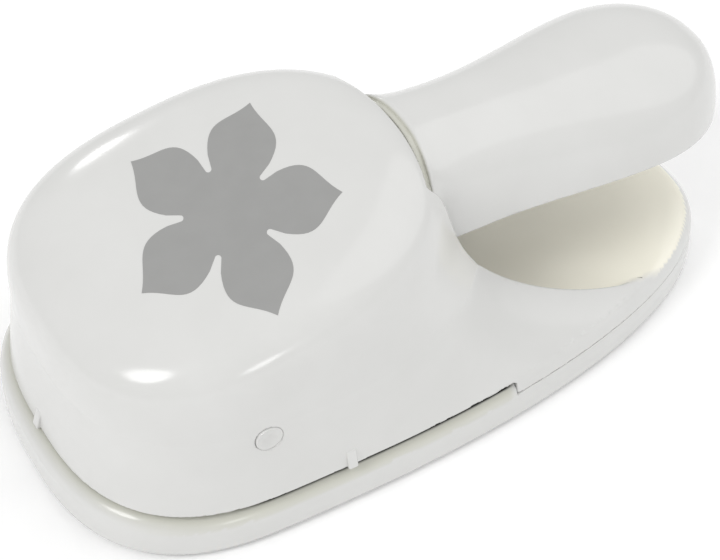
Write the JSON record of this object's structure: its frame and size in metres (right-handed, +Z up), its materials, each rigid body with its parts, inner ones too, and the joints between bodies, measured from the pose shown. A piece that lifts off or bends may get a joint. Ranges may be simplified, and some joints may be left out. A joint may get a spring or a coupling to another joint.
{
  "type": "craft punch",
  "caption": "Lever craft punch: rounded plastic body with a paper slot, flower-shaped punch and die inside, and a long rear press handle.",
  "frame": {"origin": "centre of the bounding box on the plane that the feet rest on", "axes": "+Z up, +Y towards the handle, +X to the right seen from the front"},
  "size_m": [0.0762, 0.1489, 0.0561],
  "materials": {
    "white_plastic": "glossy moulded ABS",
    "cover_plastic": "fine texture",
    "print": "flat printed ink",
    "rubber": "matt",
    "steel": "ground and zinc plated",
    "tool_steel": "ground cutting faces",
    "spring_steel": "drawn wire",
    "nylon": "natural nylon",
    "foam": "soft foam"
  },
  "bodies": {
    "frame": {"base_tray": "white_plastic", "bottom_cover": "cover_plastic", "rubber_feet": "rubber", "upper_housing": "white_plastic", "housing_screws": "steel", "flower_print": "print", "pivot_pin": "steel", "pin_cap_left": "white_plastic", "pin_cap_right": "white_plastic", "die_plate": "tool_steel", "throat_spacer": "steel", "guide_plate": "tool_steel", "set_rivets": "steel", "die_screws": "steel", "guide_screws": "steel", "guide_posts": "steel", "lever_stop_pad": "foam", "return_spring_1": "spring_steel", "return_spring_2": "spring_steel", "return_spring_3": "spring_steel", "return_spring_4": "spring_steel"},
    "lever": {"lever_cover": "white_plastic", "lever_core": "steel", "hub_spacer": "nylon", "side_spacers": "nylon", "press_bar": "steel", "cover_screws": "steel"},
    "punch": {"punch_block": "tool_steel", "pressure_plate": "steel", "wear_pad": "nylon", "punch_screws": "steel"}
  },
  "joints": [
    {"name": "lever_press", "type": "hinge", "parent": "frame", "child": "lever", "pos_m": [0, -0.041, 0.026], "axis": [-1, 0, 0], "range_deg": [0, 10], "stiffness_Nm_per_rad": 2, "springref_deg": -6.88},
    {"name": "punch_slide", "type": "slide", "parent": "frame", "child": "punch", "axis": [0, 0, -1], "range_m": [0, 0.003], "stiffness_N_per_m": 300, "springref_m": -0.0015, "deforming": ["return_spring_1", "return_spring_2", "return_spring_3", "return_spring_4"]}
  ],
  "couplings": [
    {"joint": "punch_slide", "follows": "lever_press", "m_per_rad": 0.016}
  ]
}
